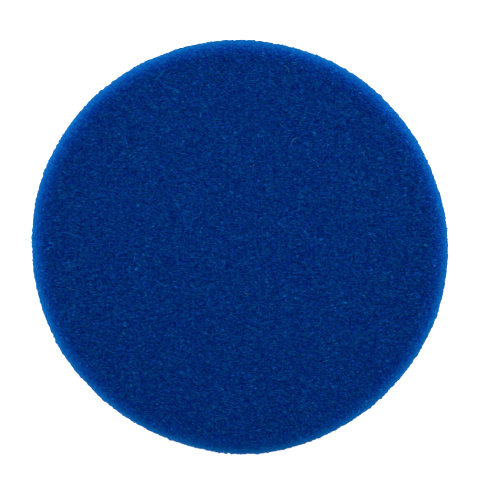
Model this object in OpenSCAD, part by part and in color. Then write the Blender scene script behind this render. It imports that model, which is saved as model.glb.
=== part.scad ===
// Round foam polishing pad for a dual-action or rotary polisher.
// It lies on its loop side, with the working face up. The origin is the centre of the loop face.
// The layers are bonded on top of each other: loop pile, ground cloth, hot-melt film, foam disc.

/* [Foam disc] */
// Diameter at the widest point, just under the rounded working edge
pad_d = 150; // [100:1:200]
// Thickness of the foam from its bonded back to the working face
foam_t = 22.5; // [15:0.5:40]
// Radius of the rounded edge around the working face
edge_r = 5; // [2:0.5:6]
// How far the side tapers in, on the radius, from the working edge to the back
taper = 5; // [1:0.5:8]
// Radius of the small round where the side meets the back
back_edge_r = 0.8; // [0.4:0.1:1.5]

/* [Loop backing] */
// Bare foam left around the loop fabric, on the radius
cloth_margin = 1; // [1:0.5:4]
// Height of the loop pile that a hook-faced backing plate grips
pile_t = 1.5; // [1:0.1:3]
// How far the pile stops short of the edge of its cloth, on the radius
pile_margin = 0.3; // [0:0.1:1]
// Thickness of the knitted ground cloth that the loops stand on
cloth_t = 0.7; // [0.4:0.1:1.2]
// Thickness of the hot-melt film between the cloth and the foam
film_t = 0.3; // [0.1:0.1:0.5]

/* [Hidden] */
$fn = 180;

pad_r = pad_d / 2;
cloth_r = pad_r - taper - cloth_margin;
pile_r = cloth_r - pile_margin;

// Heights of the bonded layers, from the loop face up
cloth_z = pile_t;
film_z = cloth_z + cloth_t;
foam_z = film_z + film_t;
face_z = foam_z + foam_t;

// The two rounds of the foam's profile, as [radius from the axis, height] of their centres
edge_c = [pad_r - edge_r, face_z - edge_r];
back_c = [pad_r - taper - back_edge_r, foam_z + back_edge_r];

// Direction square to the straight side, which is the outer tangent of both rounds
side_run = edge_c - back_c;
side_len = norm(side_run);
side_lean = atan2(side_run.x, side_run.y) + asin((edge_r - back_edge_r) / side_len);
side_out = [cos(side_lean), -sin(side_lean)];

// Half of the foam's section: everything inside the two rounds and the straight side between them
module foam_section() {
    edge_tangent = edge_c + edge_r * side_out;
    back_tangent = back_c + back_edge_r * side_out;
    polygon([
        [0, foam_z], [back_c.x, foam_z], back_c, back_tangent,
        edge_tangent, edge_c, [edge_c.x, face_z], [0, face_z],
    ]);
    translate(edge_c) circle(r = edge_r);
    translate(back_c) circle(r = back_edge_r);
}

// Fine-celled polyurethane foam, cut round, with a rounded working edge and a tapered side
module foam_disc() {
    color([0.01, 0.17, 0.45])
        rotate_extrude() foam_section();
}

// Hot-melt film that bonds the loop fabric to the foam
module adhesive_film() {
    color([0.85, 0.83, 0.76])
        translate([0, 0, film_z]) cylinder(r = cloth_r, h = film_t);
}

// Knitted ground of the loop fabric
module backing_cloth() {
    color([0.24, 0.25, 0.27])
        translate([0, 0, cloth_z]) cylinder(r = cloth_r, h = cloth_t);
}

// Outer shape of the pile: a field of fine loops that stand on the ground cloth
module loop_pile() {
    color([0.32, 0.33, 0.35])
        cylinder(r = pile_r, h = pile_t);
}

foam_disc();
adhesive_film();
backing_cloth();
loop_pile();
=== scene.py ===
import math

import bpy
import numpy as np
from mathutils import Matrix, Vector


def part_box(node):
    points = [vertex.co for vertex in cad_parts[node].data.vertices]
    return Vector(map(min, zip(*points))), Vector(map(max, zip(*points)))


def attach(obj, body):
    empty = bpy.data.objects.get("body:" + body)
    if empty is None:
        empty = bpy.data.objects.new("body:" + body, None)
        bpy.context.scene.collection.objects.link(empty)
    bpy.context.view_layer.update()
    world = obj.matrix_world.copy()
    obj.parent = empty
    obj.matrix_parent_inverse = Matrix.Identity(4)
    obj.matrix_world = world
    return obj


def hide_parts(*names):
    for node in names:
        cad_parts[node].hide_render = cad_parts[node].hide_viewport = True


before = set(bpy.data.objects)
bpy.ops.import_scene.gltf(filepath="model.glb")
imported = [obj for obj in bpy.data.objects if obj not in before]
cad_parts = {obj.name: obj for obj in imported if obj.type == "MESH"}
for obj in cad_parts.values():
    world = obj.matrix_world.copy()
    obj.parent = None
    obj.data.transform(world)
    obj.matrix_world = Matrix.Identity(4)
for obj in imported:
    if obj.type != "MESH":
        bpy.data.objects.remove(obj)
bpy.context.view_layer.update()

# A round foam polishing pad, lying on its loop side with the working face up.
# Lengths are in millimetres up to the point where a mesh is made, and in metres from there on.
MM = 0.001
BODY = "root"

# ---- Places and sizes from the frame ----
foam_low, foam_high = (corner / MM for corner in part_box("foam_disc"))
cloth_low, cloth_high = (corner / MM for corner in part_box("backing_cloth"))
PAD_R = foam_high.x
FACE_Z = foam_high.z
BACK_Z = foam_low.z
CLOTH_R = cloth_high.x
PILE_R = (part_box("loop_pile")[1] / MM).x
FILM_Z = cloth_high.z       # the film's underside, which is the cloth's top
PILE_Z = cloth_low.z        # the cloth's underside, where the loops are rooted

# Corner spacing of a surface that another piece hides
HIDDEN_STEP = 4.0


# ---- Noise that is the same on each run ----
def hashed(ix, iy, iz, seed):
    """A random number from 0 to 1 for each whole-numbered place."""
    table = np.random.default_rng(seed).random(1 << 16)
    mixed = (ix * 73856093) ^ (iy * 19349663) ^ (iz * 83492791)
    return table[mixed & (len(table) - 1)]


def soft_noise(points, size, seed):
    """Smooth noise from -1 to 1 whose lumps are about size across."""
    scaled = points / size
    cell = np.floor(scaled).astype(np.int64)
    part = scaled - cell
    part = part * part * (3 - 2 * part)
    total = np.zeros(len(points))
    for corner in np.ndindex(2, 2, 2):
        weight = np.prod(np.where(corner, part, 1 - part), axis=1)
        total += weight * hashed(*(cell + corner).T, seed)
    return 2 * total - 1


def cell_distances(points, size, seed):
    """Distances to the nearest and second-nearest of scattered cell centres, in cell sizes."""
    scaled = points / size
    cell = np.floor(scaled).astype(np.int64)
    first = np.full(len(points), np.inf)
    second = first.copy()
    for step in np.ndindex(3, 3, 3):
        home = cell + np.array(step) - 1
        scatter = np.stack([hashed(*home.T, seed + axis) for axis in range(3)], axis=1)
        away = np.linalg.norm(home + scatter - scaled, axis=1)
        second = np.minimum(second, np.maximum(first, away))
        first = np.minimum(first, away)
    return first, second


# ---- Mesh helpers ----
def spaced(path, step):
    """Points along a polyline, about step apart, with both ends kept."""
    path = np.asarray(path, float)
    along = np.concatenate([[0], np.cumsum(np.linalg.norm(np.diff(path, axis=0), axis=1))])
    marks = np.linspace(0, along[-1], max(2, round(along[-1] / step) + 1))
    return np.stack([np.interp(marks, along, path[:, axis]) for axis in range(2)], axis=1)


def zipped(start_a, count_a, turn_a, start_b, count_b, turn_b):
    """Triangles that close the gap between two rings of different corner counts."""
    at_a = (np.arange(count_a) + 1 + turn_a) / count_a
    at_b = (np.arange(count_b) + 1 + turn_b) / count_b
    is_a = np.argsort(np.concatenate([at_a, at_b]), kind="stable") < count_a
    a = np.cumsum(is_a) - is_a
    b = np.cumsum(~is_a) - ~is_a
    onward = np.where(is_a, start_a + (a + 1) % count_a, start_b + (b + 1) % count_b)
    return np.stack([start_a + a % count_a, start_b + b % count_b, onward], axis=1)


def turned(profile, steps, rng):
    """Turns a profile of [radius, height] points, from one pole to the other, into a closed mesh.
    Each ring has as many corners as its own step allows, so the triangles are all alike. Gives the
    corners, the triangles, and which point of the profile each corner comes from."""
    points, faces, ring_of = [[0, 0, profile[0][1]]], [], [0]
    start, before = 1, None
    for number, ((radius, height), step) in enumerate(zip(profile[1:-1], steps[1:-1]), start=1):
        count = max(6, round(2 * math.pi * radius / step))
        turn = rng.random()
        angle = 2 * math.pi * (np.arange(count) + turn) / count
        points.extend(np.stack([radius * np.cos(angle), radius * np.sin(angle),
                                np.full(count, height)], axis=1))
        ring_of.extend([number] * count)
        if before:
            faces.append(zipped(*before, start, count, turn))
        else:
            around = np.arange(count)
            faces.append(np.stack([np.zeros(count, int), start + around,
                                   start + (around + 1) % count], axis=1))
        before = (start, count, turn)
        start += count
    points.append([0, 0, profile[-1][1]])
    ring_of.append(len(profile) - 1)
    last_start, last_count, _ = before
    around = np.arange(last_count)
    faces.append(np.stack([np.full(last_count, start), last_start + (around + 1) % last_count,
                           last_start + around], axis=1))
    return np.array(points, float), np.concatenate(faces), np.array(ring_of)


def tubes(paths, across, radius, flat=1.0, sides=3):
    """Closed tubes along many paths at once. paths is tubes x points x 3, across is a direction for
    each tube that its section is widened along by flat, and radius is a number for each point."""
    count, length = paths.shape[:2]
    along = np.gradient(paths, axis=1)
    along /= np.linalg.norm(along, axis=2, keepdims=True)
    inner = np.cross(along, across[:, None])
    inner /= np.linalg.norm(inner, axis=2, keepdims=True)
    wide = np.cross(inner, along)
    turn = 2 * math.pi * np.arange(sides) / sides
    ring = flat * np.cos(turn)[:, None] * wide[:, :, None] + np.sin(turn)[:, None] * inner[:, :, None]
    points = paths[:, :, None] + ring * np.broadcast_to(radius, (count, length))[:, :, None, None]
    here = np.arange(length - 1)[:, None] * sides + np.arange(sides)
    beside = np.arange(length - 1)[:, None] * sides + (np.arange(sides) + 1) % sides
    wall = np.concatenate([np.stack([here, here + sides, beside], axis=2),
                           np.stack([beside, here + sides, beside + sides], axis=2)]).reshape(-1, 3)
    fan = np.stack([np.zeros(sides - 2, int), np.arange(1, sides - 1), np.arange(2, sides)], axis=1)
    one = np.concatenate([wall, fan, fan[:, ::-1] + (length - 1) * sides])
    faces = one + (np.arange(count) * length * sides)[:, None, None]
    return points.reshape(-1, 3), faces.reshape(-1, 3)


def store(piece, label, values):
    """Keeps a number for each corner, which the piece's material reads."""
    stored = piece.data.attributes.new(label, "FLOAT", "POINT")
    stored.data.foreach_set("value", np.asarray(values, np.float32))


def mesh_object(name, points, faces, material):
    """A smooth-shaded object from corners in millimetres."""
    mesh = bpy.data.meshes.new(name)
    mesh.from_pydata((points * MM).tolist(), [], faces.tolist())
    mesh.shade_smooth()
    mesh.materials.append(material)
    piece = bpy.data.objects.new(name, mesh)
    bpy.context.scene.collection.objects.link(piece)
    return piece


# ---- Node helpers ----
class Nodes:
    """Short calls for building one material's node tree."""

    def __init__(self, name):
        self.material = bpy.data.materials.new(name)
        self.material.use_nodes = True
        self.tree = self.material.node_tree
        self.shader = self.tree.nodes["Principled BSDF"]

    def add(self, kind, inputs=None, **settings):
        node = self.tree.nodes.new("ShaderNode" + kind)
        for key, value in settings.items():
            setattr(node, key, value)
        for key, value in (inputs or {}).items():
            self.give(node, key, value)
        return node

    def give(self, node, key, value):
        """Sets a socket to a number or colour, or links it where value is another socket."""
        if isinstance(value, bpy.types.NodeSocket):
            self.tree.links.new(value, node.inputs[key])
        else:
            node.inputs[key].default_value = value

    def finish(self, **sockets):
        """Sets the shader's own sockets, whose names are written with _ for a space."""
        for key, value in sockets.items():
            self.give(self.shader, key.replace("_", " "), value)
        return self.material

    def here(self):
        """Places on the piece, in metres."""
        return self.add("TexCoord").outputs["Object"]

    def stored(self, label):
        """A number that store() kept for each corner."""
        return self.add("Attribute", attribute_name=label).outputs["Fac"]

    def mapped(self, place, **change):
        """Places scaled or turned, so that a texture is squeezed or slanted."""
        return self.add("Mapping", {"Vector": place, **change}).outputs["Vector"]

    def noise(self, place, scale, detail, **more):
        inputs = {"Vector": place, "Scale": scale, "Detail": detail, **more}
        return self.add("TexNoise", inputs).outputs["Fac"]

    def bump(self, height, strength, distance):
        inputs = {"Height": height, "Strength": strength, "Distance": distance}
        return self.add("Bump", inputs).outputs["Normal"]

    def mix(self, factor, a, b, **settings):
        """Two colours put together. Sockets 6 and 7 are the ones for colours."""
        return self.add("Mix", {"Factor": factor, 6: a, 7: b}, data_type="RGBA", **settings).outputs[2]

    def plus(self, total, value, gain):
        """total + gain * value. Any of the three may be a number or a socket."""
        return self.math("MULTIPLY_ADD", value, gain, total)

    def swing(self, noise, gain):
        """Noise from 0 to 1, moved to lie about 0, times gain."""
        return self.math("MULTIPLY_ADD", noise, gain, -gain / 2)

    def math(self, operation, a, b=0.0, c=0.0):
        node = self.add("Math", operation=operation)
        for index, value in enumerate((a, b, c)):
            self.give(node, index, value)
        return node.outputs[0]

    def ramp(self, factor, stops):
        node = self.add("ValToRGB", {"Fac": factor})
        stops = list(stops)
        while len(node.color_ramp.elements) < len(stops):
            node.color_ramp.elements.new(0.5)
        for element, (place, colour) in zip(node.color_ramp.elements, stops):
            element.position = place
            element.color = (*colour, 1.0)
        return node.outputs["Color"]


# ---- Foam: shape ----
# The section, as the CAD part has it
EDGE_R = 5.0
TAPER = 5.0
BACK_EDGE_R = 0.8
# The real round eases into the flat face instead of starting at once
EASE_GAIN = 5.0
EASE_ANGLE = 0.12
EDGE_SWEEP = math.radians(120)      # more than the round needs: it is cut off where the side starts
EDGE_POINTS = 400
BACK_EDGE_POINTS = 12
# Corner spacing where the foam shows
FOAM_STEP = 0.57

# Soft foam is never cut quite round. The oval and the three-lobed wave were fitted to the
# photograph's outline by least squares
OVAL = 0.41
OVAL_AT = math.radians(-26.6)
LOBES = 0.14
LOBES_AT = math.radians(35.4)
# Other slow waves and the finer wandering of the cut, at random places
SLOW_WAVES = (4, 5, 6)
SLOW_WAVE = 0.13
CUT_WANDER = ((28.0, 0.30), (12.0, 0.12))     # size of the lumps, and how far they reach
WANDER_RISE = 0.25      # below 1, so the lumps are drawn out down the side

# Relief of the cut cells: pores, the ridges between them, and lumps of two sizes with their seeds
CELL = 1.35
PORE_GAIN, PORE_MIDDLE = 0.9, 0.55
RIDGE_GAIN, RIDGE_WIDTH = 0.35, 0.35
CELL_LUMPS = ((0.9, 0.35, 31), (3.5, 0.25, 32))
SPECKLE = 0.25
FACE_ROUGH = 0.2        # how far the relief reaches on the face
SIDE_ROUGH = 0.46       # and on the side
SCATTER = 0.3           # how far corners stray along the surface, in steps
FADE_RINGS = 4          # rings over which the relief fades out at the back

# Painted light: near the rounded edge and down the side, the colour is made paler and bluer, standing in
# for light that gets into the foam from two sides. The middle of the painted glow and its reach inwards,
# the painted paling's reach, and how much of both the side keeps lower down
PAINTED_GLOW_AT = 1.8
PAINTED_GLOW_REACH = 3.0
PAINTED_PALE_REACH = 2.85
SIDE_KEEPS = 0.45
SIDE_FADE = 6.0
# The same light blurs the grain there
CALM_REACH = 3.0
CALM = 0.7

LINT = 6
LINT_SPREAD = 0.9       # share of the radius that lint lies within
LINT_POINTS = 8
LINT_R = 0.07
LINT_BEND = 0.25
LINT_STRIDE = (0.2, 0.75)
LINT_LIFT = 0.12        # middle height above the face
LINT_WAVE = 0.1


def lint(rng):
    """A few fine pale fibres that lie on the working face."""
    radius = PAD_R * LINT_SPREAD * np.sqrt(rng.random(LINT))
    angle = rng.uniform(0, 2 * math.pi, LINT)
    start = np.stack([radius * np.cos(angle), radius * np.sin(angle)], axis=1)
    heading = rng.uniform(0, 2 * math.pi, (LINT, 1))
    bend = rng.uniform(-LINT_BEND, LINT_BEND, (LINT, 1))
    way = heading + bend * np.arange(LINT_POINTS)
    stride = rng.uniform(*LINT_STRIDE, (LINT, 1))
    paths = np.zeros((LINT, LINT_POINTS, 3))
    paths[:, :, 0] = start[:, :1] + np.cumsum(stride * np.cos(way), axis=1)
    paths[:, :, 1] = start[:, 1:] + np.cumsum(stride * np.sin(way), axis=1)
    paths[:, :, 2] = FACE_Z + LINT_LIFT + LINT_WAVE * np.sin(way * 2)
    return tubes(paths, np.tile([0.0, 0.0, 1.0], (LINT, 1)), np.full((LINT, 1), LINT_R))


def foam_section():
    """The foam's half section as a dense path, from the face's centre round to the film's rim."""
    tilt = np.linspace(0, EDGE_SWEEP, EDGE_POINTS)
    bend = EDGE_R * (1 + EASE_GAIN * np.exp(-tilt / EASE_ANGLE))
    turn = np.diff(tilt)
    middle = (tilt[1:] + tilt[:-1]) / 2
    reach = (bend[1:] + bend[:-1]) / 2 * turn
    out = np.concatenate([[0], np.cumsum(reach * np.cos(middle))])
    down = np.concatenate([[0], np.cumsum(reach * np.sin(middle))])
    out += PAD_R - out.max()
    edge_centre = np.array([PAD_R - EDGE_R, FACE_Z - down[np.argmax(out)]])
    back_centre = np.array([PAD_R - TAPER - BACK_EDGE_R, BACK_Z + BACK_EDGE_R])
    run = edge_centre - back_centre
    lean = math.atan2(run[0], run[1]) + math.asin((EDGE_R - BACK_EDGE_R) / np.linalg.norm(run))
    shown = tilt <= math.pi / 2 + lean
    edge = np.stack([out[shown], FACE_Z - down[shown]], axis=1)
    back_tilt = np.linspace(math.pi / 2 + lean, math.pi, BACK_EDGE_POINTS)
    back = back_centre + BACK_EDGE_R * np.stack([np.sin(back_tilt), np.cos(back_tilt)], axis=1)
    return np.concatenate([[[0, FACE_Z]], edge, back])


def cell_relief(points, rng):
    """How far the cut cells stand out at each corner, about 0 on average."""
    first, second = cell_distances(points, CELL, 21)
    relief = PORE_GAIN * (first - PORE_MIDDLE) + RIDGE_GAIN * (RIDGE_WIDTH - (second - first))
    relief += sum(gain * soft_noise(points, size, seed) for size, gain, seed in CELL_LUMPS)
    return relief + SPECKLE * rng.standard_normal(len(points))


def out_of_round(points, angle, rng):
    """How far each corner's part of the rim strays outwards."""
    wave = OVAL * np.cos(2 * (angle - OVAL_AT)) + LOBES * np.cos(3 * (angle - LOBES_AT))
    rim = np.stack([PAD_R * np.cos(angle), PAD_R * np.sin(angle), WANDER_RISE * points[:, 2]], axis=1)
    for number, (size, reach) in enumerate(CUT_WANDER):
        wave += reach * soft_noise(rim, size, 41 + number)
    for order in SLOW_WAVES:
        wave += SLOW_WAVE * np.cos(order * angle + rng.uniform(0, 2 * math.pi))
    return wave


def store_painted_edge_light(piece, radius, height):
    """Keeps how much painted light lightens each corner's colour near the rounded edge and down the side,
    and how much of its grain it loses there.
    """
    below = np.maximum(FACE_Z - EDGE_R - height, 0)
    inward = np.where(below > 0, 0, PAD_R - radius)
    side = SIDE_KEEPS + (1 - SIDE_KEEPS) * np.exp(-(below / SIDE_FADE) ** 2)
    store(piece, "pale", np.exp(-(inward / PAINTED_PALE_REACH) ** 2) * side)
    store(piece, "glow", np.exp(-((inward - PAINTED_GLOW_AT) / PAINTED_GLOW_REACH) ** 2) * side)
    store(piece, "calm", np.exp(-(inward / CALM_REACH) ** 2) * np.exp(-2 * below / CALM_REACH))


def foam_piece():
    """The cut foam, with its lint. Its working face, edge and side have relief; the back is hidden."""
    rng = np.random.default_rng(11)
    shown = spaced(foam_section(), FOAM_STEP * math.sqrt(3) / 2)
    hidden = spaced([shown[-1], [0, BACK_Z]], HIDDEN_STEP)[1:]
    profile = np.concatenate([shown, hidden])
    steps = [FOAM_STEP] * len(shown) + [HIDDEN_STEP] * len(hidden)
    points, faces, ring = turned(profile, steps, rng)

    along = np.gradient(profile, axis=0)
    along /= np.linalg.norm(along, axis=1)[:, None]
    radius = np.hypot(points[:, 0], points[:, 1])
    angle = np.arctan2(points[:, 1], points[:, 0])
    outward = np.stack([-along[ring, 1] * np.cos(angle), -along[ring, 1] * np.sin(angle),
                        along[ring, 0]], axis=1)
    shows = np.clip((len(shown) - 2 - ring) / FADE_RINGS, 0, 1)[:, None]

    points += rng.uniform(-SCATTER, SCATTER, points.shape) * FOAM_STEP * shows * (1 - outward ** 2)
    relief = cell_relief(points, rng)
    sideways = outward[:, :1] ** 2 + outward[:, 1:2] ** 2
    rough = FACE_ROUGH * (1 - sideways) + SIDE_ROUGH * sideways ** 4
    points += outward * relief[:, None] * rough * shows
    points[:, :2] *= (1 + out_of_round(points, angle, rng) / PAD_R)[:, None]

    lint_points, lint_faces = lint(rng)
    faces = np.concatenate([faces, lint_faces + len(points)])
    points = np.concatenate([points, lint_points])
    radius = np.concatenate([radius, np.zeros(len(lint_points))])
    relief = np.concatenate([relief, np.zeros(len(lint_points))])
    piece = mesh_object("foam_disc_cut", points, faces, foam_material())
    store(piece, "lint", np.arange(len(points)) >= len(points) - len(lint_points))
    store(piece, "relief", relief)
    store_painted_edge_light(piece, radius, points[:, 2])
    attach(piece, BODY)
    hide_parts("foam_disc")


# ---- Foam: looks ----
FOAM_BLUE = np.array([0.0011, 0.0223, 0.163])
GRAIN_DARK = np.array([0.30, 0.33, 0.155])      # how fast each colour falls where the grain is below 0: random tone, and painted shade in the pores and pits
GRAIN_LIGHT = np.array([0.32, 0.36, 0.225])     # and rises where it is above 0: random tone, and painted light on the struts, ridges and glints
GRAIN_STOPS = 11
GRAIN_REACH = 5.0       # the ramp's ends, in standard spreads of the grain
CELL_STRETCH = (0.80, 1.32, 1.0)    # cells are a little longer along X
DASH_STRETCH = (0.36, 1.35, 1.0)    # and cut strands lie mostly along it

# What the grain is made of. A scale is in features to the metre, and a gain is in standard spreads
FINE_SCALE, FINE_ROUGHNESS, FINE_GAIN = 1500.0, 0.6, 6.5
# The struts are lighter than the pores between them: painted shade in the pores
STRUT_SCALE, STRUT_GAIN, STRUT_LEVEL = 1050.0, -7.5, 1.1
# The colour follows the relief: painted shade in its pits and painted highlights on its ridges
PAINTED_RELIEF_SHADE_GAIN = 0.75
DASH_SCALE, DASH_FINENESS, DASH_GAIN = 1000.0, 18.0, 2.5
BREAK_SCALE, BREAK_GAIN = 650.0, 6.0            # the strands come in broken pieces
# Painted glints: small highlights on a few cells
GLINT_SCALE, GLINT_R, GLINT_SHARE, GLINT_GAIN = 620.0, 0.25, 0.07, 5.8
# Some cells are greener and some more violet
HUE_SCALE = 900.0
HUES = ((0.2, (1.2, 0.52, 1.03)), (0.5, (1.0, 1.0, 1.0)), (0.8, (0.85, 1.6, 0.99)))

PAINTED_EDGE_GREEN = 1.8        # how much greener the edge's colour is painted, as painted light
PAINTED_EDGE_BLUE = 0.39        # and how much bluer, as a painted glow
SHEEN_TINT = (0.003, 0.3, 0.8, 1.0)
LINT_COLOUR = (0.03, 0.13, 0.28, 1.0)


def foam_grain(n, here):
    """How light each spot is against its surroundings: below 0 in a pore, above 0 on a strut. Besides
    random tone, it holds painted shade in the pores and in the relief's pits, painted highlights on the
    struts and ridges, and painted glints.
    """
    place = n.mapped(here, Scale=CELL_STRETCH)
    fine = n.noise(place, FINE_SCALE, detail=1.0, Roughness=FINE_ROUGHNESS)
    grain = n.swing(fine, FINE_GAIN)
    # painted shade in the pores between the struts
    struts = n.add("TexVoronoi", {"Vector": place, "Scale": STRUT_SCALE}, feature="DISTANCE_TO_EDGE")
    grain = n.plus(n.math("ADD", grain, STRUT_LEVEL), struts.outputs["Distance"], STRUT_GAIN)
    # painted shade in the relief's pits and painted highlights on its ridges
    grain = n.plus(grain, n.stored("relief"), PAINTED_RELIEF_SHADE_GAIN)

    lines = n.noise(n.mapped(here, Scale=DASH_STRETCH), DASH_SCALE, detail=0.0)
    line = n.math("ABSOLUTE", n.math("SUBTRACT", lines, 0.5))
    line = n.math("MAXIMUM", n.plus(1.0, line, -DASH_FINENESS), 0.0)
    broken = n.math("MAXIMUM", n.swing(n.noise(here, BREAK_SCALE, detail=0.0), BREAK_GAIN), 0.0)
    grain = n.plus(grain, n.math("MULTIPLY", line, broken), DASH_GAIN)

    # painted glints on a few cells
    glints = n.add("TexVoronoi", {"Vector": place, "Scale": GLINT_SCALE})
    spot = n.math("MAXIMUM", n.plus(1.0, glints.outputs["Distance"], -1 / GLINT_R), 0.0)
    any_cell = n.add("SeparateColor", {"Color": glints.outputs["Color"]}).outputs["Red"]
    chosen = n.math("GREATER_THAN", any_cell, 1 - GLINT_SHARE)
    return n.plus(grain, n.math("MULTIPLY", spot, chosen), GLINT_GAIN)


def foam_material():
    """Cut open-cell polyurethane: dark pores between lighter struts, partly random tone and partly painted
    shade and highlights, with painted light that makes the colour paler at the rounded edge.
    """
    n = Nodes("foam_blue")
    here = n.here()
    crisp = n.plus(1.0, n.stored("calm"), -CALM)
    grain = n.math("MULTIPLY", foam_grain(n, here), crisp)
    stops = []
    for place in np.linspace(0, 1, GRAIN_STOPS):
        spread = (2 * place - 1) * GRAIN_REACH
        rate = GRAIN_LIGHT if spread > 0 else GRAIN_DARK
        stops.append((place, FOAM_BLUE * np.exp(rate * spread)))
    colour = n.ramp(n.plus(0.5, grain, 0.5 / GRAIN_REACH), stops)

    # Painted light: the colour is made greener and bluer near the rounded edge and on the side, standing
    # in for light that gets into the foam
    edge = n.add("CombineColor", {"Red": 1.0, "Green": n.plus(1.0, n.stored("pale"), PAINTED_EDGE_GREEN),
                                  "Blue": n.plus(1.0, n.stored("glow"), PAINTED_EDGE_BLUE)})
    colour = n.mix(1.0, colour, edge.outputs["Color"], blend_type="MULTIPLY")
    hue = n.math("SUBTRACT", n.noise(here, HUE_SCALE, detail=1.0), 0.5)
    tint = n.ramp(n.plus(0.5, hue, crisp), HUES)
    colour = n.mix(1.0, colour, tint, blend_type="MULTIPLY")
    return n.finish(Base_Color=n.mix(n.stored("lint"), colour, LINT_COLOUR), Roughness=0.95,
                    Specular_IOR_Level=0.0, Sheen_Weight=0.12, Sheen_Roughness=0.42,
                    Sheen_Tint=SHEEN_TINT, Normal=n.bump(grain, strength=0.5, distance=0.0001))


# ---- Thin layers and the hot-melt film ----
SHOULDER_POINTS = 3
FILM_STEP = 0.9
FILM_ROUND = 0.12
FILM_DARK = (0.28, 0.27, 0.225)
FILM_PALE = (0.52, 0.50, 0.42)
# How far the glue is squeezed out: size of the lumps, how far they reach, and seed
SQUEEZE = ((4.0, 0.25, 52), (15.0, 0.3, 53))
SQUEEZED_RIM = 10       # only the outermost one part in this many of the radius moves


def layer(radius, low_z, high_z, step, low_step, round_r, seed):
    """A thin closed disc with a rounded rim, whose underside has corners low_step apart."""
    top = spaced([[0, high_z], [radius - round_r, high_z]], HIDDEN_STEP)
    tilt = np.linspace(0, math.pi / 2, SHOULDER_POINTS)
    shoulder = np.stack([radius - round_r + round_r * np.sin(tilt),
                         high_z - round_r + round_r * np.cos(tilt)], axis=1)[1:]
    foot = (shoulder * [1, -1] + [0, high_z + low_z])[::-1]
    under = spaced([[radius - round_r, low_z], [0, low_z]], low_step)[1:]
    profile = np.concatenate([top, shoulder, foot, under])
    steps = [HIDDEN_STEP] * len(top) + [step] * 2 * len(shoulder) + [low_step] * len(under)
    return turned(profile, steps, np.random.default_rng(seed))


def film_material():
    """Set hot-melt glue: milky and slightly glossy, thicker in some places than in others."""
    n = Nodes("hot_melt")
    cloud = n.noise(n.here(), scale=260.0, detail=3.0)
    return n.finish(Base_Color=n.ramp(cloud, [(0.3, FILM_DARK), (0.7, FILM_PALE)]),
                    Roughness=n.plus(0.2, cloud, gain=0.4),
                    Normal=n.bump(cloud, strength=0.5, distance=0.0002))


def film_piece():
    """The film, squeezed out a little further in some places than in others."""
    points, faces, _ = layer(CLOTH_R, FILM_Z, BACK_Z, FILM_STEP, HIDDEN_STEP, FILM_ROUND, 51)
    radius = np.hypot(points[:, 0], points[:, 1])
    near_rim = np.clip(radius / CLOTH_R * SQUEEZED_RIM - (SQUEEZED_RIM - 1), 0, 1)
    squeeze = sum(reach * soft_noise(points, size, seed) for size, reach, seed in SQUEEZE)
    points[:, :2] *= (1 + near_rim * squeeze / CLOTH_R)[:, None]
    piece = mesh_object("hot_melt_film", points, faces, film_material())
    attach(piece, BODY)
    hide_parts("adhesive_film")
    return piece


# ---- Ground cloth ----
CLOTH_STEP = 0.58
WALE = 1.62             # spacing of the knit's ribs, which run along Y
COURSE = 1.1            # and of the stitches along each rib
RIB_RISE = 0.1
RIB_SHIFT, RIB_SHIFT_SIZE = 0.25, 22.0      # how far the ribs wander, in wales, and over what length
CLOTH_ROUND = 0.2
PLAIN_RIM = 0.3         # the cut edge has no ribs
# How much of the rise is rib, how much stitch, and how much neither
RIB_PART, STITCH_PART, STRAY_PART = 0.6, 0.25, 0.3
# How uneven the cut is: size of the lumps, how far they reach, and seed
UNEVEN = ((1.4, 0.14, 64), (9.0, 0.18, 65))
UNEVEN_POWER = 8        # keeps it to the rim
# Tones of the yarn and where they lie on the ramp
CLOTH_TONES = ((0.15, (0.026, 0.028, 0.033)), (0.55, (0.060, 0.064, 0.073)), (1.0, (0.115, 0.120, 0.134)))
STITCH_SLANT = math.radians(24)
WAVE_RATE = 20 / (2 * math.pi)      # waves to the unit in Blender's wave texture, at a scale of 1
FIBRE_PART = 0.5        # how much the fibres add to the stitches
LOOSE_PALE = 0.9        # how much paler loose ends are, on the ramp
STRAND_POINTS = 4

FRAYS = 520
FRAY_R = 0.07
FRAY_ROOT = 0.4         # how far inside the cut edge a fray starts
FRAY_STRAY = 0.2
FRAY_REACH = (0.5, 1.3)
FRAY_LEAN = 0.9         # sideways at the tip, in reaches
FRAY_DROOP = (-0.5, 0.1)
FRAY_THINS = 0.5        # how much thinner the tip is

FUZZ = 4500
FUZZ_R = 0.045
FUZZ_MARGIN = 1.0       # how far inside the pile's rim the fuzz stops
FUZZ_DEEP = 0.1         # how far up in the cloth it is rooted
FUZZ_CURL = 1.6         # radians along a filament
FUZZ_STRIDE = (0.25, 0.55)
FUZZ_DROP = (0.5, 1.1)  # towards the loops' tips, in pile heights
FUZZ_ARC = 0.75 * math.pi
FUZZ_THINS = 0.4


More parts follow.
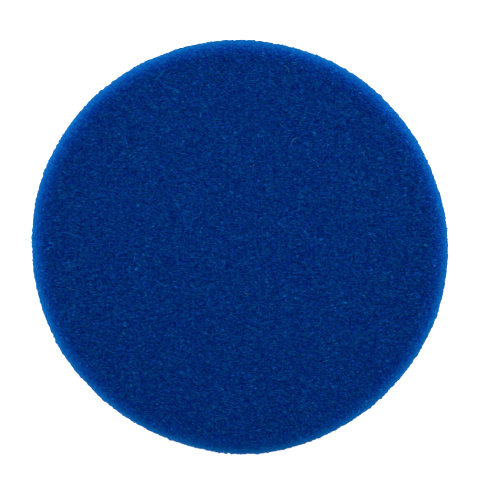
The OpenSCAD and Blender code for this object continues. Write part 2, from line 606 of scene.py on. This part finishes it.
def cloth_material():
    """Dark knitted polyester: slanting stitches in ribs, a little mottled, with painted shade where the
    knit is low.
    """
    n = Nodes("knitted_ground")
    here = n.here()
    ribs = n.add("TexWave", {"Vector": here, "Scale": 1 / (WAVE_RATE * WALE * MM), "Distortion": 0.6,
                             "Detail": 1.0, "Detail Scale": 300.0}, bands_direction="X")
    stitch = n.mapped(here, Rotation=(0, 0, STITCH_SLANT))
    rows = n.add("TexWave", {"Vector": stitch, "Scale": 1 / (WAVE_RATE * COURSE * MM),
                             "Distortion": 1.5, "Detail": 1.0, "Detail Scale": 500.0}, bands_direction="Y")
    fibres = n.noise(here, scale=2500.0, detail=2.0)
    knit = n.math("MULTIPLY", ribs.outputs["Fac"], rows.outputs["Fac"])
    height = n.math("ADD", knit, n.math("MULTIPLY", fibres, FIBRE_PART))
    # painted shade: darker where the knit is low, lighter on its ribs and stitches; the fibres add random
    # tone
    tone = n.plus(height, n.stored("loose"), LOOSE_PALE)
    return n.finish(Base_Color=n.ramp(tone, CLOTH_TONES), Roughness=0.9, Specular_IOR_Level=0.25,
                    Sheen_Weight=0.25, Normal=n.bump(height, strength=0.8, distance=0.0002))


def frays(rng):
    """Short yarn ends that stick out of the cloth's cut edge."""
    angle = rng.uniform(0, 2 * math.pi, FRAYS)
    out = np.stack([np.cos(angle), np.sin(angle), np.zeros(FRAYS)], axis=1)
    side = np.stack([-out[:, 1], out[:, 0], np.zeros(FRAYS)], axis=1)
    start = out * (CLOTH_R - FRAY_ROOT) + [0, 0, (PILE_Z + FILM_Z) / 2]
    start = start + FRAY_STRAY * rng.uniform(-1, 1, (FRAYS, 3))
    reach = rng.uniform(*FRAY_REACH, (FRAYS, 1))
    lean = rng.uniform(-FRAY_LEAN, FRAY_LEAN, (FRAYS, 1))
    droop = rng.uniform(*FRAY_DROOP, (FRAYS, 1))
    along = np.linspace(0, 1, STRAND_POINTS)[None, :, None]
    paths = start[:, None] + along * (reach * out)[:, None]
    paths = paths + along ** 2 * (reach * lean * side)[:, None]
    paths[:, :, 2] += along[:, :, 0] ** 2 * droop
    return tubes(paths, side, FRAY_R * (1 - FRAY_THINS * along[:, :, 0]))


def fuzz(rng):
    """Fine broken filaments that curl up out of the cloth between the loops."""
    radius = (PILE_R - FUZZ_MARGIN) * np.sqrt(rng.random(FUZZ))
    angle, heading = rng.uniform(0, 2 * math.pi, (2, FUZZ))
    root = np.stack([radius * np.cos(angle), radius * np.sin(angle),
                     np.full(FUZZ, PILE_Z + FUZZ_DEEP)], axis=1)
    along = np.linspace(0, 1, STRAND_POINTS)
    way = heading[:, None] + rng.uniform(-FUZZ_CURL, FUZZ_CURL, (FUZZ, 1)) * along
    stride = rng.uniform(*FUZZ_STRIDE, (FUZZ, 1))
    paths = np.tile(root[:, None], (1, STRAND_POINTS, 1))
    paths[:, :, 0] += np.cumsum(stride * np.cos(way), axis=1)
    paths[:, :, 1] += np.cumsum(stride * np.sin(way), axis=1)
    paths[:, :, 2] -= rng.uniform(*FUZZ_DROP, (FUZZ, 1)) * PILE_Z * np.sin(FUZZ_ARC * along)
    across = np.stack([-np.sin(heading), np.cos(heading), 0 * heading], axis=1)
    points, faces = tubes(paths, across, FUZZ_R * (1 - FUZZ_THINS * along))
    points[:, 2] = np.maximum(points[:, 2], 0)
    return points, faces


def cloth_piece(film, pile):
    """The knitted cloth under the film, with its loose ends. Its ribs and stitches are in the mesh."""
    rng = np.random.default_rng(61)
    points, faces, _ = layer(CLOTH_R, PILE_Z, FILM_Z, CLOTH_STEP, CLOTH_STEP, CLOTH_ROUND, 62)
    radius = np.hypot(points[:, 0], points[:, 1])
    under = (points[:, 2] < (PILE_Z + FILM_Z) / 2) & (radius < CLOTH_R - PLAIN_RIM)
    shift = RIB_SHIFT * WALE * soft_noise(points, RIB_SHIFT_SIZE, 63)
    rib = np.cos(2 * math.pi * (points[:, 0] + shift) / WALE)
    stitch = np.cos(2 * math.pi * points[:, 1] / COURSE + np.where(rib > 0, 0, math.pi))
    knit = RIB_PART * rib + STITCH_PART * stitch + STRAY_PART * rng.standard_normal(len(points))
    points[:, 2] -= np.where(under, RIB_RISE * knit, 0)
    uneven = sum(reach * soft_noise(points, size, seed) for size, reach, seed in UNEVEN)
    points[:, :2] *= (1 + (radius / CLOTH_R) ** UNEVEN_POWER * uneven / CLOTH_R)[:, None]
    loose = np.zeros(len(points))
    for strand_points, strand_faces in (frays(rng), fuzz(rng)):
        faces = np.concatenate([faces, strand_faces + len(points)])
        points = np.concatenate([points, strand_points])
        loose = np.concatenate([loose, np.ones(len(strand_points))])
    piece = mesh_object("ground_cloth", points, faces, cloth_material())
    store(piece, "loose", loose)
    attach(piece, BODY)
    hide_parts("backing_cloth")
    return piece


# ---- Loop pile ----
LOOP_ROW = 1.62         # spacing of the rows of loops, which run along Y as the ribs do
LOOP_GAP = 1.50         # and of the loops along each row
LOOP_POINTS = 6
LOOP_R = 0.52           # half a loop's width
LOOP_NECK = math.radians(42)    # half the angle left open at a loop's foot
YARN_R = 0.10
YARN_FLAT = 2.5         # the yarn's filaments spread into a flat band
# How much loops differ in width, height and the thickness of their yarn
LOOP_WIDTHS = (0.75, 1.2)
LOOP_HEIGHTS = (0.78, 1.0)
YARN_SIZES = (0.8, 1.2)
# Tones of the filament and where they lie on the ramp
LOOP_TONES = ((0.0, (0.045, 0.048, 0.056)), (0.45, (0.125, 0.131, 0.145)), (1.0, (0.34, 0.35, 0.38)))
# Brushing moves a loop's tip: by how much on average, how much loops differ, and how much patches do
BRUSHED = (0.45, 0.3)
BRUSH_SPREAD = 0.28
BRUSH_PATCH = 0.35
BRUSH_PATCH_SIZE = 16.0
BRUSH_BEND = 1.5        # above 1, so a loop bends more towards its tip
LOOP_STRAY = 0.14       # spread of the roots about their rows
LOOP_TURN = 0.5         # and of the way the loops face, in radians
LOOP_ROOT = 0.05        # how deep a loop's foot is in the cloth


def pile_material():
    """Crimped nylon filament, each loop a slightly different grey, with painted shade that darkens the
    loops towards their roots in the cloth.
    """
    n = Nodes("nylon_loops")
    fibres = n.noise(n.here(), scale=3200.0, detail=2.0)
    tone = n.plus(-0.08, n.stored("shade"), gain=0.35)
    tone = n.plus(tone, fibres, gain=0.5)
    # painted shade: darker towards the roots, deep in the pile
    tone = n.plus(tone, n.stored("painted_root_shade"), gain=0.25)
    return n.finish(Base_Color=n.ramp(tone, LOOP_TONES), Specular_IOR_Level=0.35, Sheen_Weight=0.2,
                    Roughness=n.plus(0.42, fibres, gain=0.3),
                    Normal=n.bump(fibres, strength=0.6, distance=0.00008))


def pile_piece():
    """Thousands of separate loops, rooted in the ground cloth and brushed over to one side."""
    rng = np.random.default_rng(71)
    half = int(PILE_R / LOOP_ROW) + 2
    row, place = np.meshgrid(np.arange(-half, half), np.arange(-half, half), indexing="ij")
    root = np.stack([row * LOOP_ROW, (place + 0.5 * (row % 2)) * LOOP_GAP], axis=2).reshape(-1, 2)
    root += rng.normal(0, LOOP_STRAY, root.shape)
    root = root[np.hypot(root[:, 0], root[:, 1]) < PILE_R - LOOP_R]
    count = len(root)
    turn = math.pi / 2 + rng.normal(0, LOOP_TURN, count)
    facing = np.stack([np.cos(turn), np.sin(turn), np.zeros(count)], axis=1)
    across = np.stack([-np.sin(turn), np.cos(turn), np.zeros(count)], axis=1)
    swing = np.linspace(LOOP_NECK - math.pi, math.pi - LOOP_NECK, LOOP_POINTS)
    rise = (np.cos(swing) + math.cos(LOOP_NECK)) / (1 + math.cos(LOOP_NECK))
    width = LOOP_R * rng.uniform(*LOOP_WIDTHS, (count, 1)) * np.sin(swing)
    tall = (PILE_Z - YARN_R) * rng.uniform(*LOOP_HEIGHTS, (count, 1))
    brushed = np.array(BRUSHED) + rng.normal(0, BRUSH_SPREAD, (count, 2))
    flat_root = np.c_[root, 0 * root[:, 0]]
    patches = [soft_noise(flat_root, BRUSH_PATCH_SIZE, seed) for seed in (72, 73)]
    brushed += BRUSH_PATCH * np.stack(patches, axis=1)
    paths = facing[:, None] * width[:, :, None]
    paths[:, :, :2] += root[:, None] + brushed[:, None] * (rise ** BRUSH_BEND)[None, :, None]
    paths[:, :, 2] = PILE_Z + LOOP_ROOT - (tall + LOOP_ROOT) * rise
    radius = YARN_R * rng.uniform(*YARN_SIZES, (count, 1))
    points, faces = tubes(paths, across, radius, flat=YARN_FLAT)
    points[:, 2] = np.maximum(points[:, 2], 0)
    piece = mesh_object("loop_field", points, faces, pile_material())
    corners = len(points) // count
    store(piece, "shade", np.repeat(rng.random(count), corners))
    # painted shade for the material: 0 at the roots, 1 at the tips
    store(piece, "painted_root_shade", 1 - points[:, 2] / PILE_Z)
    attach(piece, BODY)
    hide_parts("loop_pile")
    return piece


# ---- Scene ----
VIEW_WIDTH = 180.9      # how much of the plane through the pad's widest ring the picture shows
VIEW_CENTRE = (3.80, -1.38)
LENS = 100.0
SENSOR = 36.0

FLOOR_R = 0.9           # metres: the floor ends inside the ring of softboxes, where it is still white
FLOOR_CORNERS = 96
FLOOR_GLOW = 0.8        # keeps the pale floor white under soft light
DOME_LIGHT = 0.06
BACKDROP = 1.2          # the camera sees white past the floor as well, so that no horizon shows
LAMP_REACH = 1.2        # metres from the pad to each softbox
LAMP_WIDTH = 0.6
# Azimuth in degrees, 0 at +X and 90 at +Y, degrees above the floor, height in metres, and watts.
# The watts were fitted to the rim's brightness in the photograph and then changed
SOFTBOXES = {"right": (0, 3, 0.2, 16.0), "left": (180, 3, 0.2, 17.5), "front": (270, 2, 0.2, 18.0),
             "back_right": (45, 24, 0.6, 15.5), "back_left": (135, 24, 0.6, 15.5)}


def camera():
    """Straight above the pad, with the top of the picture towards +Y."""
    data = bpy.data.cameras.new("camera")
    data.lens = LENS
    data.sensor_width = SENSOR
    data.clip_start = 0.01
    data.clip_end = 100.0
    eye = bpy.data.objects.new("camera", data)
    eye_z = FACE_Z - EDGE_R + VIEW_WIDTH * LENS / SENSOR
    eye.location = (VIEW_CENTRE[0] * MM, VIEW_CENTRE[1] * MM, eye_z * MM)
    bpy.context.scene.collection.objects.link(eye)
    bpy.context.scene.camera = eye


def floor():
    """A plain white disc, which glows a little."""
    n = Nodes("studio_floor")
    n.finish(Base_Color=(0.86, 0.86, 0.86, 1.0), Roughness=0.9, Emission_Color=(1.0, 1.0, 1.0, 1.0),
             Emission_Strength=FLOOR_GLOW)
    turn = 2 * math.pi * np.arange(FLOOR_CORNERS) / FLOOR_CORNERS
    rim = FLOOR_R / MM * np.stack([np.cos(turn), np.sin(turn), 0 * turn], axis=1)
    ground = mesh_object("studio_floor", rim, np.arange(FLOOR_CORNERS)[None], n.material)


def softbox(name, azimuth, raised, height, power):
    """A soft light that faces the pad."""
    data = bpy.data.lights.new("softbox_" + name, "AREA")
    data.shape = "RECTANGLE"
    data.size = LAMP_WIDTH
    data.size_y = height
    data.energy = power
    lamp = bpy.data.objects.new("softbox_" + name, data)
    turn, lift = math.radians(azimuth), math.radians(raised)
    lamp.location = (LAMP_REACH * math.cos(turn) * math.cos(lift),
                     LAMP_REACH * math.sin(turn) * math.cos(lift), LAMP_REACH * math.sin(lift))
    lamp.rotation_euler = (math.pi / 2 - lift, 0, turn + math.pi / 2)
    lamp.visible_camera = False
    bpy.context.scene.collection.objects.link(lamp)


def lighting():
    """Low softboxes round the pad under a dim dome, which shows white behind the floor."""
    world = bpy.data.worlds.new("studio")
    world.use_nodes = True
    tree = world.node_tree
    sky = tree.nodes["Background"]
    sky.inputs["Color"].default_value = (1.0, 1.0, 1.0, 1.0)
    seen = tree.nodes.new("ShaderNodeLightPath")
    strength = tree.nodes.new("ShaderNodeMapRange")
    strength.inputs["To Min"].default_value = DOME_LIGHT
    strength.inputs["To Max"].default_value = BACKDROP
    tree.links.new(seen.outputs["Is Camera Ray"], strength.inputs["Value"])
    tree.links.new(strength.outputs["Result"], sky.inputs["Strength"])
    bpy.context.scene.world = world
    for name, settings in SOFTBOXES.items():
        softbox(name, *settings)


camera()
foam_piece()
cloth_piece(film_piece(), pile_piece())
floor()
lighting()
bpy.context.scene.view_settings.view_transform = "Standard"
